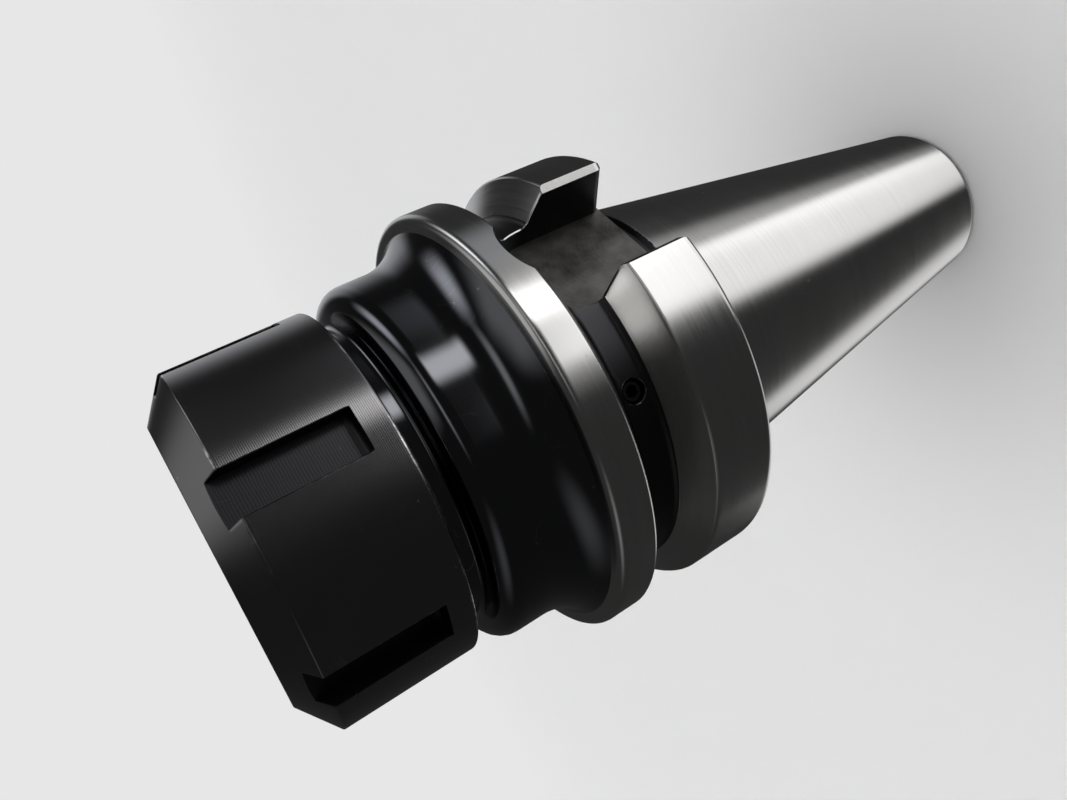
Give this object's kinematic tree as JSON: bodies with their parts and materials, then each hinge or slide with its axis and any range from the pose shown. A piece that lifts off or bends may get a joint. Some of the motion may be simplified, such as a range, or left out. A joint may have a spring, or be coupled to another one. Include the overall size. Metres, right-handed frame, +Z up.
{
  "type": "collet chuck holder",
  "caption": "Steep-taper collet chuck holder with gripper flange and drive slots, slit spring collet, slotted clamping nut that screws up its nose, and a hollow stop screw.",
  "frame": {"origin": "centre of the taper's small end face, on which the holder stands", "axes": "+Z up the spindle axis, from the taper's small end to the nut's front face; the drive slots open towards +X and -X"},
  "size_m": [0.063, 0.063, 0.1314],
  "materials": {
    "holder_steel": "ground taper and flange, black oxide elsewhere",
    "nut_steel": "satin black oxide",
    "collet_steel": "fine ground steel",
    "screw_steel": "black oxide"
  },
  "bodies": {
    "holder": {"holder_body": "holder_steel", "plug_screw_1": "screw_steel", "plug_screw_2": "screw_steel"},
    "collet": {"collet": "collet_steel"},
    "nut": {"clamping_nut": "nut_steel"},
    "stop": {"stop_screw": "screw_steel"}
  },
  "joints": [
    {"name": "collet_travel", "type": "slide", "parent": "holder", "child": "collet", "axis": [0, 0, 1], "range_m": [0, 0.0105]},
    {"name": "nut_turn", "type": "hinge", "parent": "collet", "child": "nut", "pos_m": [0, 0, 0.12], "axis": [0, 0, 1], "range_deg": [0, 2520]},
    {"name": "stop_screw_travel", "type": "slide", "parent": "holder", "child": "stop", "axis": [0, 0, 1], "range_m": [-0.0075, 0.006]}
  ],
  "couplings": [
    {"joint": "collet_travel", "follows": "nut_turn", "m_per_rad": 0.00023873}
  ]
}
